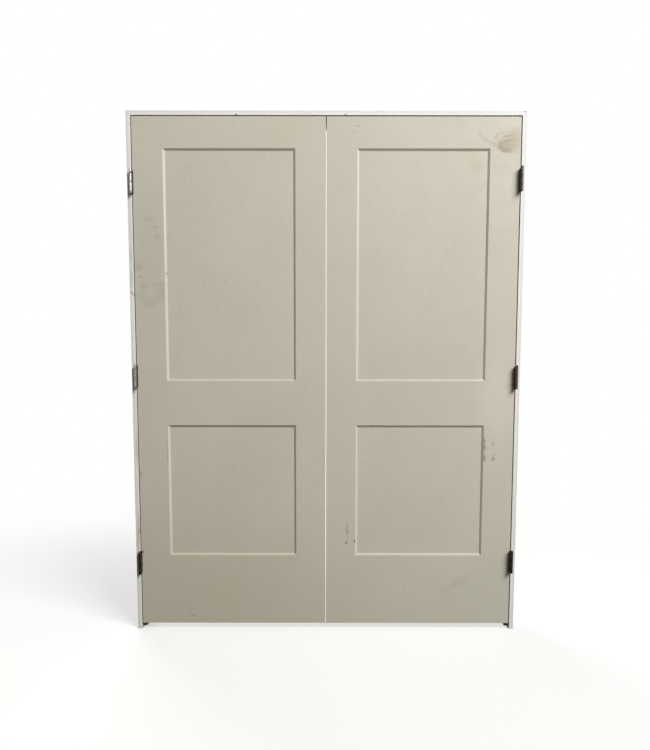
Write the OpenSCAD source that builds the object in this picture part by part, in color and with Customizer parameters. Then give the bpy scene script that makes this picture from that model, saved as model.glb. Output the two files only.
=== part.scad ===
// A pair of moulded two-panel interior doors, hung on butt hinges in a flat jamb frame.
// The origin is the bottom centre of the whole unit. +Y points from the hinge-pin side
// into the wall, and both doors swing out towards -Y.

/* [Doors] */
// Width of one door slab
door_w = 762; // [610:1:914]
// Height of the door slabs
door_h = 2032; // [1950:1:2134]
// Thickness of the door slabs
door_t = 35; // [33:0.5:40]
// Gap between a slab and the leg beside it
edge_gap = 3.5; // [2:0.5:5]
// Gap between the slabs and the head above them
head_gap = 4; // [2:0.5:6]
// Gap between the two slabs where they meet
meeting_gap = 3; // [2.5:0.5:6]
// Height of the slabs above the floor
undercut = 25; // [6:1:40]
// Slope of the meeting edges in degrees, which lets the slabs swing past each other
edge_bevel = 3; // [2:0.5:5]

/* [Moulded panels] */
// Width of the flat border beside the panels
side_border = 120; // [105:1:150]
// Height of the flat border above the upper panel
top_border = 120; // [90:1:160]
// Height of the upper panel's opening
upper_panel_h = 907; // [700:1:1000]
// Height of the flat border between the panels
middle_border = 178.5; // [100:0.5:250]
// Height of the flat border below the lower panel
bottom_border = 288; // [200:0.5:350]
// Width of the sloped moulding around each panel
slope_w = 8.5; // [8:0.5:16]
// Depth of the panels below the face
panel_depth = 5.5; // [5:0.5:9]
// Radius of the soft edges of the moulding
slope_edge_r = 1.6; // [0.8:0.1:3]

/* [Slab construction] */
// Thickness of the moulded skins
skin_t = 3.2; // [2.5:0.1:4]
// Width of the solid stiles inside the slab
stile_w = 30; // [26:1:45]
// Height of the solid top rail inside the slab
top_rail_h = 32; // [25:1:60]
// Height of the solid bottom rail inside the slab
bottom_rail_h = 42; // [25:1:80]
// Width of the block behind the lock area
block_w = 62; // [40:1:70]
// Height of the block behind the lock area
block_h = 400; // [200:1:500]
// Height of the block's centre above the slab's bottom
block_z = 965; // [900:1:1050]
// Thickness of the core's cardboard strips
strip_t = 2.4; // [1.5:0.1:4]
// Greatest distance between upright core strips
strip_pitch_x = 110; // [80:1:160]
// Greatest distance between level core strips
strip_pitch_z = 130; // [100:1:200]

/* [Frame] */
// Thickness of the jamb boards
jamb_t = 17.5; // [16:0.5:22]
// Depth of the jamb boards, from one wall face to the other
jamb_d = 116; // [100:1:170]
// Depth of the rabbet in each leg that takes the end of the head
rabbet_d = 8.5; // [5:0.5:12]
// Thickness of the stops
stop_t = 9.5; // [8:0.5:13]
// Width of the stops
stop_w = 32; // [25:1:45]
// Gap between the closed slabs and the stops
stop_gap = 1.5; // [1:0.5:4]
// Radius of the eased edges of the stops
stop_edge_r = 2; // [1:0.5:4]
// Radius of the nails through the legs into the head
nail_r = 1.4; // [1:0.1:2]
// Length of the nails
nail_len = 50; // [40:1:60]
// Number of nails at each end of the head
nail_count = 3; // [2:1:4]
// Distance from the jamb edges to the outermost nails
nail_inset = 18; // [12:1:30]
// Radius of the brads that hold the stops
brad_r = 0.8; // [0.6:0.1:1]
// Length of the brads
brad_len = 22; // [18:1:25]
// Distance from a stop's end to its first brad
brad_inset = 80; // [50:1:150]
// Greatest distance between brads
brad_pitch = 420; // [300:1:600]

/* [Hinges] */
// Height of the left door's bottom hinge above the slab's bottom
left_bottom_hinge_rise = 259; // [150:1:400]
// Height of the left door's middle hinge above the slab's half height
left_middle_hinge_rise = 6; // [-60:1:60]
// Distance of the left door's top hinge below the slab's top
left_top_hinge_drop = 250; // [150:1:400]
// Height of the right door's bottom hinge above the slab's bottom
right_bottom_hinge_rise = 264; // [150:1:400]
// Height of the right door's middle hinge above the slab's half height
right_middle_hinge_rise = 4; // [-60:1:60]
// Distance of the right door's top hinge below the slab's top
right_top_hinge_drop = 240; // [150:1:400]
// Height of a hinge leaf
hinge_h = 88.9; // [76:0.1:102]
// Width of a leaf, from the pin's centre to its free edge
leaf_w = 44.45; // [42:0.05:48]
// Thickness of the leaves
leaf_t = 2.4; // [2:0.1:3]
// Radius of the leaves' corners
leaf_corner_r = 6.35; // [3:0.05:12]
// Distance from a leaf's free edge to the slab's back face
leaf_backset = 6.35; // [5:0.05:8]
// Radius of the hinge pin
pin_r = 3.1; // [2.8:0.05:3.6]
// Clearance around the pin in the knuckles
pin_clear = 0.06; // [0.03:0.01:0.1]
// Number of knuckles on a hinge
knuckles = 5; // [3:2:7]
// Gap between neighbouring knuckles
knuckle_gap = 0.3; // [0.2:0.05:0.6]
// Clearance between a leaf and the other leaf's knuckles
knuckle_clear = 0.5; // [0.3:0.1:1]
// Radius of the button tips at the pin's head and foot
tip_r = 5.2; // [4.5:0.1:6]
// Height of the button tips
tip_h = 4; // [3:0.1:6]
// Length of the foot plug inside the lowest knuckle
plug_len = 6; // [4:0.5:9]
// Clearance around a leaf in its mortise
mortise_clear = 0.2; // [0.1:0.05:0.4]

/* [Screws] */
// Radius of the screw heads
screw_head_r = 4.2; // [3.8:0.1:4.6]
// Radius of the screw shanks
screw_r = 2.2; // [1.8:0.1:2.4]
// Height of the screws' countersunk heads
screw_head_h = 2.1; // [1.8:0.1:2.4]
// Length of the screws
screw_len = 16; // [12:0.5:16]
// Length of the screw points
screw_point = 5; // [3:0.5:7]
// Height between the screws of a leaf
screw_pitch = 31; // [24:0.5:34]
// Distance from a leaf's free edge to its outer screws
screw_inset = 8; // [6:0.5:9]
// Distance that the middle screw is set nearer to the pin
screw_stagger = 10; // [6:0.5:12]
// Width of the slots of the cross recess
recess_w = 1; // [0.8:0.1:1.3]
// Depth of the cross recess
recess_d = 1.5; // [1:0.1:1.8]
// Clearance around the screws, nails and brads in their holes
hole_clear = 0.05; // [0.02:0.01:0.1]

/* [Hidden] */
greige = "#cfc8b7";
primer = "#e9e8e3";
bronze = "#37312c";
steel = "#8d8f92";
pine = "#d9b98a";
cardboard = "#a98a5f";

// How far a cutting shape reaches past the face that it cuts
over = 1;
// Segments of an eighth to a quarter turn in moulded edges
arc_steps = 3;

opening_w = 2*door_w + meeting_gap + 2*edge_gap;
opening_h = undercut + door_h + head_gap;
unit_w = opening_w + 2*jamb_t;
unit_h = opening_h + jamb_t;

knuckle_bore = pin_r + pin_clear;
knuckle_r = knuckle_bore + leaf_t;
knuckle_len = (hinge_h - (knuckles - 1)*knuckle_gap)/knuckles;
// Distance from the slab's face to the pin's centre
pin_proud = leaf_w - (door_t - leaf_backset);
// The unit is centred on Y from the knuckles to the jambs' back edges
face_y = (pin_proud + max(knuckle_r, tip_r) - jamb_d)/2;

slope_a = atan(panel_depth/slope_w);
panel_w = door_w - 2*side_border;
lower_panel_h = door_h - top_border - upper_panel_h - middle_border - bottom_border;
upper_panel_z = door_h - top_border - upper_panel_h;
// How far the moulding's back is set out from its front
skin_set = skin_t*tan(slope_a/2);

// Points of an arc from angle a0 to angle a1
function arc(cx, cy, r, a0, a1, steps = arc_steps) =
    [for (i = [0:steps]) let (a = a0 + (a1 - a0)*i/steps) [cx + r*cos(a), cy + r*sin(a)]];

// The same outline with its two axes swapped
function swapped(points) = [for (p = points) [p[1], p[0]]];

// Evenly spaced places from a to b, no further apart than pitch
function spread(a, b, pitch) = let (n = ceil((b - a)/pitch)) [for (i = [0:n]) a + (b - a)*i/n];

left_hinge_z = [left_bottom_hinge_rise, door_h/2 + left_middle_hinge_rise,
    door_h - left_top_hinge_drop];
right_hinge_z = [right_bottom_hinge_rise, door_h/2 + right_middle_hinge_rise,
    door_h - right_top_hinge_drop];

function hinge_z(side) = side == "left" ? left_hinge_z : right_hinge_z;

// Each side is drawn as the left one, and the right one is its mirror image
module on_side(side) {
    if (side == "right") mirror([1, 0, 0]) children();
    else children();
}

// Moves a slab's own origin, the foot of its hinge edge on the front face, to its place
module at_slab() {
    translate([-opening_w/2 + edge_gap, face_y, undercut]) children();
}

// Moves a hinge's own origin, the centre of its pin, to its place
module at_hinge(z) {
    translate([(edge_gap - opening_w)/2, face_y - pin_proud, undercut + z]) children();
}

module at_hinges(side) {
    for (z = hinge_z(side)) at_hinge(z) children();
}

// Hinge leaves, seen as the slab's leaf with the slab towards +X

// Places from the hinge's foot to the foot of knuckle i
function knuckle_z(i) = -hinge_h/2 + i*(knuckle_len + knuckle_gap);

// Flat shape of a leaf, grown at its edges by grow
module leaf_outline(grow = 0) {
    r = leaf_corner_r + grow;
    w = leaf_w + grow;
    h = hinge_h + 2*grow;
    translate([0, -h/2]) square([w - r, h]);
    translate([w - r - over, r - h/2]) square([r + over, h - 2*r]);
    for (s = [-1, 1]) translate([w - r, s*(h/2 - r)]) circle(r, $fn = 32);
}

// Room for the other leaf's knuckles, where first is this leaf's first knuckle, 0 or 1
module knuckle_notches(first) {
    depth = knuckle_r + knuckle_clear;
    for (i = [1 - first:2:knuckles - 1])
        translate([-over, -leaf_w, knuckle_z(i) - knuckle_gap])
            cube([leaf_w, leaf_w + depth, knuckle_len + 2*knuckle_gap]);
}

// The curl's outer bend, which runs from the knuckle back to the flat leaf
module swage() {
    bend_a = 20;
    polygon([
        [edge_gap/2 + leaf_t/2, 0],
        [knuckle_r*cos(bend_a), knuckle_r*sin(bend_a)],
        [edge_gap/2 + leaf_t, knuckle_r + leaf_t],
        [edge_gap/2 + leaf_t/2, knuckle_r + leaf_t]
    ]);
}

// A countersunk screw along +Z from its head's face, grown by clear for its hole
module screw_shape(clear = 0, above = 0) {
    rotate_extrude($fn = 24) polygon([
        [0, -above], [screw_head_r + clear, -above], [screw_head_r + clear, 0],
        [screw_r + clear, screw_head_h], [screw_r + clear, screw_len - screw_point],
        [0, screw_len + clear]
    ]);
}

// Places of a leaf's screws, with their heads on the leaf's face
module at_leaf_screws() {
    for (row = [-1, 0, 1])
        translate([edge_gap/2, leaf_w - screw_inset - (row == 0 ? screw_stagger : 0), row*screw_pitch])
            rotate([0, 90, 0]) children();
}

module leaf(first) {
    color(bronze) difference() {
        union() {
            difference() {
                translate([edge_gap/2, 0, 0]) rotate([90, 0, 90]) linear_extrude(leaf_t) leaf_outline();
                knuckle_notches(first);
            }
            for (i = [first:2:knuckles - 1]) translate([0, 0, knuckle_z(i)]) {
                cylinder(h = knuckle_len, r = knuckle_r, $fn = 48);
                linear_extrude(knuckle_len) swage();
            }
        }
        translate([0, 0, -hinge_h]) cylinder(h = 2*hinge_h, r = knuckle_bore, $fn = 48);
        at_leaf_screws() screw_shape(hole_clear, over);
    }
}

module door_leaf() { leaf(1); }

// The jamb's leaf is turned over the pin, and carries the first, middle and last knuckles
module jamb_leaf() { mirror([1, 0, 0]) leaf(0); }

module leaf_screws() {
    color(bronze) at_leaf_screws() difference() {
        screw_shape();
        for (a = [0, 90]) rotate(a)
            translate([-recess_w/2, -screw_r, -over]) cube([recess_w, 2*screw_r, recess_d + over]);
    }
}

// Pocket for a leaf and the holes for its screws
module leaf_mortise() {
    rotate([90, 0, 90]) linear_extrude(edge_gap/2 + leaf_t) leaf_outline(mortise_clear);
    at_leaf_screws() screw_shape(hole_clear);
}

// Half outline of a button tip, from its flat seat upwards
tip_outline = concat([[0, 0]], arc(tip_r - tip_h/4, tip_h/4, tip_h/4, -90, 0),
    [for (i = [1:4]) let (a = 90*i/4) [tip_r*cos(a), tip_h/4 + 0.75*tip_h*sin(a)]]);

module button_tip() { rotate_extrude($fn = 32) polygon(tip_outline); }

module pin() {
    foot = -hinge_h/2 + plug_len + knuckle_gap;
    color(bronze) {
        translate([0, 0, foot]) cylinder(h = hinge_h/2 - foot, r = pin_r, $fn = 32);
        translate([0, 0, hinge_h/2]) button_tip();
    }
}

// Plug with a button that closes the foot of the lowest knuckle
module pin_plug() {
    color(bronze) translate([0, 0, -hinge_h/2]) {
        cylinder(h = plug_len, r = pin_r, $fn = 32);
        mirror([0, 0, 1]) button_tip();
    }
}

// Frame

// A nail or brad along +Z from its head, or its hole where there is a clearance
module peg(r, len, clear) {
    mouth = clear > 0 ? over : 0;
    translate([0, 0, -mouth]) cylinder(h = mouth + len + clear, r = r + clear, $fn = 16);
}

// Nails through the left leg into the end of the head
module nail_row(clear = 0) {
    span = jamb_d - 2*nail_inset;
    for (i = [0:nail_count - 1])
        translate([-unit_w/2, face_y + nail_inset + span*i/(nail_count - 1), opening_h + jamb_t/2])
            rotate([0, 90, 0]) peg(nail_r, nail_len, clear);
}

stop_y = face_y + door_t + stop_gap;

// Brads along the left stop, from its face into the leg
module leg_brads(clear = 0) {
    for (z = spread(brad_inset, opening_h - stop_t - brad_inset, brad_pitch))
        translate([stop_t - opening_w/2, stop_y + stop_w/2, z])
            rotate([0, -90, 0]) peg(brad_r, brad_len, clear);
}

// Brads along the head stop, from its face up into the head
module head_brads(clear = 0) {
    for (x = spread(brad_inset - opening_w/2, opening_w/2 - brad_inset, brad_pitch))
        translate([x, stop_y + stop_w/2, opening_h - stop_t]) peg(brad_r, brad_len, clear);
}

// One leg: a board with a rabbet for the head at its top and a mortise for each hinge
module jamb_leg(side) {
    color(primer) on_side(side) difference() {
        translate([-unit_w/2, face_y, 0]) cube([jamb_t, jamb_d, unit_h]);
        translate([-opening_w/2 - rabbet_d, face_y - over, opening_h])
            cube([rabbet_d + over, jamb_d + 2*over, jamb_t + over]);
        at_hinges(side) mirror([1, 0, 0]) leaf_mortise();
        nail_row(hole_clear);
        leg_brads(hole_clear);
    }
}

module left_jamb() { jamb_leg("left"); }
module right_jamb() { jamb_leg("right"); }

module head_jamb() {
    color(primer) difference() {
        translate([-opening_w/2 - rabbet_d, face_y, opening_h])
            cube([opening_w + 2*rabbet_d, jamb_d, jamb_t]);
        for (side = ["left", "right"]) on_side(side) nail_row(hole_clear);
        head_brads(hole_clear);
    }
}

module head_nails() {
    color(steel) for (side = ["left", "right"]) on_side(side) nail_row();
}

// Section of a stop: t thick from the jamb, w wide, with both outer edges eased
function stop_section(t, w, r) =
    concat([[0, 0]], arc(t - r, r, r, -90, 0), arc(t - r, w - r, r, 0, 90), [[0, w]]);

module leg_stop(side) {
    color(primer) on_side(side) difference() {
        translate([-opening_w/2, stop_y, 0]) linear_extrude(opening_h - stop_t)
            polygon(stop_section(stop_t, stop_w, stop_edge_r));
        leg_brads(hole_clear);
    }
}

module left_stop() { leg_stop("left"); }
module right_stop() { leg_stop("right"); }

module head_stop() {
    color(primer) difference() {
        translate([-opening_w/2, stop_y, opening_h]) mirror([0, 0, 1]) rotate([90, 0, 90])
            linear_extrude(opening_w) polygon(swapped(stop_section(stop_t, stop_w, stop_edge_r)));
        head_brads(hole_clear);
    }
}

module stop_brads() {
    color(steel) {
        for (side = ["left", "right"]) on_side(side) leg_brads();
        head_brads();
    }
}

// Door slabs, drawn from the foot of the hinge edge on the front face

// Plan of a slab between two depths, cut back along the meeting edge's bevel
module slab_plan(x0, y0, y1) {
    polygon([
        [x0, y0], [door_w - y0*tan(edge_bevel), y0],
        [door_w - y1*tan(edge_bevel), y1], [x0, y1]
    ]);
}

// Outline across a panel of the given span, with soft edges above and below the slope
function dish_outline(span) =
    let (e = slope_edge_r*tan(slope_a/2), d = panel_depth, r = slope_edge_r,
         half = concat([[-e, -over]], arc(-e, r, r, -90, slope_a - 90),
                       arc(slope_w + e, d - r, r, 90 + slope_a, 90)))
    concat(half, [for (i = [len(half) - 1:-1:0]) [span - half[i][0], half[i][1]]]);

// The hollow of one panel: sloped on four sides with mitred corners, mouth at y = 0
module dish(w, h) {
    intersection() {
        translate([0, 0, -2*over]) linear_extrude(h + 4*over) polygon(dish_outline(w));
        translate([-2*over, 0, 0]) rotate([90, 0, 90]) linear_extrude(w + 4*over)
            polygon(swapped(dish_outline(h)));
    }
}

// Runs its children at each panel's lower corner, with the panel's height in $panel_h
module each_panel(x, set = 0) {
    for (p = [[bottom_border, lower_panel_h], [upper_panel_z, upper_panel_h]]) {
        $panel_h = p[1] + 2*set;
        translate([x - set, 0, p[0] - set]) children();
    }
}

// A pressed skin: an even sheet that dips into both panels
module skin_sheet() {
    difference() {
        union() {
            cube([door_w, skin_t, door_h]);
            translate([0, skin_t, 0]) each_panel(side_border, skin_set)
                dish(panel_w + 2*skin_set, $panel_h);
        }
        each_panel(side_border) dish(panel_w, $panel_h);
    }
}

module slab_mortises(side) {
    for (z = hinge_z(side)) translate([-edge_gap/2, -pin_proud, z]) leaf_mortise();
}

module front_skin(side) {
    color(greige) on_side(side) at_slab() difference() {
        intersection() {
            skin_sheet();
            translate([0, 0, -over]) linear_extrude(door_h + 2*over) slab_plan(-over, -over, door_t);
        }
        slab_mortises(side);
    }
}

module back_skin(side) {
    color(greige) on_side(side) at_slab() intersection() {
        translate([0, door_t, 0]) mirror([0, 1, 0]) skin_sheet();
        translate([0, 0, -over]) linear_extrude(door_h + 2*over) slab_plan(-over, 0, door_t + over);
    }
}

module hinge_stile(side) {
    color(pine) on_side(side) at_slab() difference() {
        translate([0, skin_t, 0]) cube([stile_w, door_t - 2*skin_t, door_h]);
        slab_mortises(side);
    }
}

module meeting_stile(side) {
    color(pine) on_side(side) at_slab() linear_extrude(door_h)
        slab_plan(door_w - stile_w, skin_t, door_t - skin_t);
}

// A rail between the stiles, from height z up by h
module rail(side, z, h) {
    color(pine) on_side(side) at_slab() translate([stile_w, skin_t, z])
        cube([door_w - 2*stile_w, door_t - 2*skin_t, h]);
}

module lock_block(side) {
    color(pine) on_side(side) at_slab()
        translate([door_w - stile_w - block_w, skin_t, block_z - block_h/2])
            cube([block_w, door_t - 2*skin_t, block_h]);
}

// Lattice of cardboard strips between the rails and stiles, pressed thin behind the panels
module core(side) {
    x0 = stile_w;
    x1 = door_w - stile_w;
    z0 = bottom_rail_h;
    z1 = door_h - top_rail_h;
    color(cardboard) on_side(side) at_slab() difference() {
        union() {
            for (x = spread(x0, x1 - strip_t, strip_pitch_x)) translate([x, skin_t, z0])
                cube([strip_t, door_t - 2*skin_t, z1 - z0]);
            for (z = spread(z0, z1 - strip_t, strip_pitch_z)) translate([x0, skin_t, z])
                cube([x1 - x0, door_t - 2*skin_t, strip_t]);
        }
        each_panel(side_border, skin_set + slope_edge_r) {
            w = panel_w + 2*(skin_set + slope_edge_r);
            translate([0, -over, 0]) cube([w, over + panel_depth + skin_t, $panel_h]);
            translate([0, door_t - panel_depth - skin_t, 0])
                cube([w, over + panel_depth + skin_t, $panel_h]);
        }
        translate([door_w - stile_w - block_w, -over, block_z - block_h/2])
            cube([block_w + over, door_t + 2*over, block_h]);
    }
}

module left_top_jamb_leaf() { at_hinge(left_hinge_z[2]) jamb_leaf(); }
module left_middle_jamb_leaf() { at_hinge(left_hinge_z[1]) jamb_leaf(); }
module left_bottom_jamb_leaf() { at_hinge(left_hinge_z[0]) jamb_leaf(); }
module right_top_jamb_leaf() { on_side("right") at_hinge(right_hinge_z[2]) jamb_leaf(); }
module right_middle_jamb_leaf() { on_side("right") at_hinge(right_hinge_z[1]) jamb_leaf(); }
module right_bottom_jamb_leaf() { on_side("right") at_hinge(right_hinge_z[0]) jamb_leaf(); }

module left_jamb_screws() { at_hinges("left") mirror([1, 0, 0]) leaf_screws(); }
module right_jamb_screws() { on_side("right") at_hinges("right") mirror([1, 0, 0]) leaf_screws(); }

module left_top_pin() { at_hinge(left_hinge_z[2]) pin(); }
module left_middle_pin() { at_hinge(left_hinge_z[1]) pin(); }
module left_bottom_pin() { at_hinge(left_hinge_z[0]) pin(); }
module right_top_pin() { on_side("right") at_hinge(right_hinge_z[2]) pin(); }
module right_middle_pin() { on_side("right") at_hinge(right_hinge_z[1]) pin(); }
module right_bottom_pin() { on_side("right") at_hinge(right_hinge_z[0]) pin(); }

module left_pin_plugs() { at_hinges("left") pin_plug(); }
module right_pin_plugs() { on_side("right") at_hinges("right") pin_plug(); }

module left_top_door_leaf() { at_hinge(left_hinge_z[2]) door_leaf(); }
module left_middle_door_leaf() { at_hinge(left_hinge_z[1]) door_leaf(); }
module left_bottom_door_leaf() { at_hinge(left_hinge_z[0]) door_leaf(); }
module right_top_door_leaf() { on_side("right") at_hinge(right_hinge_z[2]) door_leaf(); }
module right_middle_door_leaf() { on_side("right") at_hinge(right_hinge_z[1]) door_leaf(); }
module right_bottom_door_leaf() { on_side("right") at_hinge(right_hinge_z[0]) door_leaf(); }

module left_door_screws() { at_hinges("left") leaf_screws(); }
module right_door_screws() { on_side("right") at_hinges("right") leaf_screws(); }

left_jamb();
right_jamb();
head_jamb();
head_nails();
left_stop();
right_stop();
head_stop();
stop_brads();
left_top_jamb_leaf();
left_middle_jamb_leaf();
left_bottom_jamb_leaf();
right_top_jamb_leaf();
right_middle_jamb_leaf();
right_bottom_jamb_leaf();
left_jamb_screws();
right_jamb_screws();
left_top_pin();
left_middle_pin();
left_bottom_pin();
right_top_pin();
right_middle_pin();
right_bottom_pin();
left_pin_plugs();
right_pin_plugs();
front_skin("left");  // left_door_front_skin
back_skin("left");  // left_door_back_skin
hinge_stile("left");  // left_door_hinge_stile
meeting_stile("left");  // left_door_meeting_stile
rail("left", door_h - top_rail_h, top_rail_h);  // left_door_top_rail
rail("left", 0, bottom_rail_h);  // left_door_bottom_rail
lock_block("left");  // left_door_lock_block
core("left");  // left_door_core
left_top_door_leaf();
left_middle_door_leaf();
left_bottom_door_leaf();
left_door_screws();
front_skin("right");  // right_door_front_skin
back_skin("right");  // right_door_back_skin
hinge_stile("right");  // right_door_hinge_stile
meeting_stile("right");  // right_door_meeting_stile
rail("right", door_h - top_rail_h, top_rail_h);  // right_door_top_rail
rail("right", 0, bottom_rail_h);  // right_door_bottom_rail
lock_block("right");  // right_door_lock_block
core("right");  // right_door_core
right_top_door_leaf();
right_middle_door_leaf();
right_bottom_door_leaf();
right_door_screws();
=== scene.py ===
# %% [markdown]
# A pair of moulded interior doors, hung on butt hinges in a flat white frame.
# The measured model of the doors is loaded first and stays as it is. Each step below
# gives one part of it the shape and the finish that the eye expects of the real one.

# %% Load the measured model
import math
import bmesh
import bpy
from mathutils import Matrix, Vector


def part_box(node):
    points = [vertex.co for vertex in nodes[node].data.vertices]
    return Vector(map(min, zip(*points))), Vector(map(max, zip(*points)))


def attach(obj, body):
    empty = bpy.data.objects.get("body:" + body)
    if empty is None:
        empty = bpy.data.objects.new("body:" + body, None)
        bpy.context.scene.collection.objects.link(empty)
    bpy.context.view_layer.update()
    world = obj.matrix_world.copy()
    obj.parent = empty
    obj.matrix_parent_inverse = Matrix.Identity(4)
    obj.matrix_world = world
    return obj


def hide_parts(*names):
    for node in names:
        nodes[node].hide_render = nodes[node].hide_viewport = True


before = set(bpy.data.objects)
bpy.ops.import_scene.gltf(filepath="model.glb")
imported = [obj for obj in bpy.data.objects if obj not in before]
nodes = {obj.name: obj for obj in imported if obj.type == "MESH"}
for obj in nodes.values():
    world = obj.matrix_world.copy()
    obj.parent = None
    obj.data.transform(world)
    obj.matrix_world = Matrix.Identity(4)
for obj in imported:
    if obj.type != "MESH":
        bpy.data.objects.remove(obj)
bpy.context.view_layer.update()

# %% [markdown]
# The camera stands about 2.2 m in front of the doors at the height of a person's waist,
# and tips down by some four degrees, so the frame's legs draw together towards the floor.
# A small upward shift keeps the head of the frame in the picture, as a photographer
# would get by cropping, and it bends no lines.

# %% Camera at the photograph's place
MM = 0.001
DOOR_FACE_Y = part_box("left_jamb")[0].y
CAMERA_DISTANCE = 2.2
CAMERA_HEIGHT = 0.917
CAMERA_ASIDE = -3.8*MM
TIP_DOWN = 4.29
ROLL = -0.075
LENS = 25.93
SHIFT_UP = 0.0995

lens = bpy.data.cameras.new("camera")
lens.lens = LENS
lens.shift_y = SHIFT_UP
camera = bpy.data.objects.new("camera", lens)
camera.location = (CAMERA_ASIDE, DOOR_FACE_Y - CAMERA_DISTANCE, CAMERA_HEIGHT)
camera.rotation_euler = (math.radians(90 - TIP_DOWN), math.radians(ROLL), 0)
bpy.context.scene.collection.objects.link(camera)
bpy.context.scene.camera = camera
bpy.context.scene.view_settings.view_transform = "Standard"
print("camera at", tuple(round(v, 3) for v in camera.location))

# %% [markdown]
# Colours are written as hex values, the way paint and screen colours are given. Blender
# mixes light in linear values, so one function turns the one into the other. One more
# small function adds a node with its settings and its links, and every material and the
# background are built with it.

# %% Colours and nodes
def linear(hex_colour):
    """Turn a hex colour into the linear colour that a shader takes."""
    parts = [int(hex_colour[i:i + 2], 16)/255 for i in (1, 3, 5)]
    return tuple(p/12.92 if p <= 0.04045 else ((p + 0.055)/1.055)**2.4 for p in parts) + (1,)


def add(tree, kind, settings=None, inputs=None):
    """Add one shader node. An input is a plain value, or the socket that feeds it."""
    made = tree.nodes.new("ShaderNode" + kind)
    for name, value in (settings or {}).items():
        setattr(made, name, value)
    for name, value in (inputs or {}).items():
        if isinstance(value, bpy.types.NodeSocket):
            tree.links.new(value, made.inputs[name])
        else:
            made.inputs[name].default_value = value
    return made


print("mid grey in linear values:", [round(v, 3) for v in linear("#808080")])

# %% [markdown]
# The doors stand on a plain pale floor in front of a white background, as in a shop
# picture. White behind the object comes from what the camera sees there, not from more
# light: rays from the camera, and those that metal or glass sends on, meet plain white.
# All other rays meet a dim room, a little warm, which fills the shadows.

# %% White background
ROOM_LIGHT = 0.095
ROOM_COLOUR = "#fff2dd"

world = bpy.data.worlds.new("white_room")
bpy.context.scene.world = world
world.use_nodes = True
tree = world.node_tree
tree.nodes.clear()
path = add(tree, "LightPath")
seen = add(tree, "Math", {"operation": "MAXIMUM"},
           {0: path.outputs["Is Camera Ray"], 1: path.outputs["Is Glossy Ray"]})
seen = add(tree, "Math", {"operation": "MAXIMUM"},
           {0: seen.outputs[0], 1: path.outputs["Is Transmission Ray"]})
room = add(tree, "Background", {}, {"Color": linear(ROOM_COLOUR), "Strength": ROOM_LIGHT})
white = add(tree, "Background", {}, {"Color": (1, 1, 1, 1), "Strength": 1})
mixed = add(tree, "MixShader", {}, {0: seen.outputs[0], 1: room.outputs[0], 2: white.outputs[0]})
add(tree, "OutputWorld", {}, {"Surface": mixed.outputs[0]})
print("room light:", ROOM_LIGHT)

# %% [markdown]
# The floor is white paper. It keeps the doors' shadow where they stand and fades to plain
# white further off, so no edge shows against the background. Paper would throw much light
# up at the doors, which the picture doesn't show, so all rays but the camera's find it grey.

# %% Floor
FLOOR_SIZE = 9
FADE_RADIUS = 3.6
FADE_START = 0.7
NEAR_GLOW = 0.55
PAPER_SEEN = "#f4f4f2"
PAPER_UNSEEN = "#535250"

bpy.ops.object.select_all(action="DESELECT")
bpy.ops.mesh.primitive_plane_add(size=FLOOR_SIZE)
floor = bpy.context.object
floor.name = "floor"
paint = bpy.data.materials.new("matt_white_paper")
paint.use_nodes = True
tree = paint.node_tree
tree.nodes.clear()
camera_ray = add(tree, "LightPath").outputs["Is Camera Ray"]
place = add(tree, "TexCoord").outputs["Object"]
paper = add(tree, "Mix", {"data_type": "RGBA"}, {
    0: camera_ray, 6: linear(PAPER_UNSEEN), 7: linear(PAPER_SEEN)})
lit = add(tree, "BsdfDiffuse", {}, {"Color": paper.outputs[2]})
glow = add(tree, "Emission", {}, {"Color": (1, 1, 1, 1), "Strength": 1})

# The gradient is 1 in the middle of the floor and 0 at the radius, where all is glow.
centred = add(tree, "Mapping", {"vector_type": "TEXTURE"}, {
    "Vector": place, "Scale": (FADE_RADIUS, FADE_RADIUS, 1)})
near = add(tree, "TexGradient", {"gradient_type": "SPHERICAL"}, {"Vector": centred.outputs[0]})
share = add(tree, "MapRange", {}, {
    "Value": near.outputs[1], "From Max": FADE_START, "To Min": 1, "To Max": NEAR_GLOW})
share = add(tree, "Math", {"operation": "MULTIPLY"}, {0: camera_ray, 1: share.outputs[0]})
mixed = add(tree, "MixShader", {}, {0: share.outputs[0], 1: lit.outputs[0], 2: glow.outputs[0]})
add(tree, "OutputMaterial", {}, {"Surface": mixed.outputs[0]})
floor.data.materials.append(paint)
print("floor:", FLOOR_SIZE, "m")

# %% [markdown]
# In the picture the upper right of the doors is the lightest place and the lower left
# the darkest, the moulded slopes that face up or right are bright and the others dark,
# and each right hinge drops a soft shadow to its left. One broad lamp does all this. It
# stands far off on the upper right, since a near one would fade faster down the doors. A
# second one does the same for the back, and throws nothing on the front.

# %% Lamps
AIM = (0, 0, 1)
KEY_PLACE = (5.0, -5.1, 6.8)
KEY_POWER = 1080
BACK_PLACE = (-3.6, 6.4, 5.6)
BACK_POWER = 470
LAMP_SIZE = 4.6


def lamp(name, place, power):
    """Add a square area lamp that points at the middle of the doors."""
    light = bpy.data.lights.new(name, "AREA")
    light.size = LAMP_SIZE
    light.energy = power
    made = bpy.data.objects.new(name, light)
    made.location = place
    made.rotation_euler = (Vector(AIM) - Vector(place)).to_track_quat("-Z", "Y").to_euler()
    bpy.context.scene.collection.objects.link(made)


lamp("key_lamp", KEY_PLACE, KEY_POWER)
lamp("back_lamp", BACK_PLACE, BACK_POWER)
print("key lamp:", KEY_POWER, "W, back lamp:", BACK_POWER, "W")

# %% [markdown]
# Every material starts with the place on the object in metres, so that a pattern's size
# can be worked out from a real size in millimetres, and ends in one shader. In between,
# colours are laid over each other like coats of paint. A mask says where each one shows:
# it is either cloudy patches of noise, or a test of the place on the object.

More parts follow.
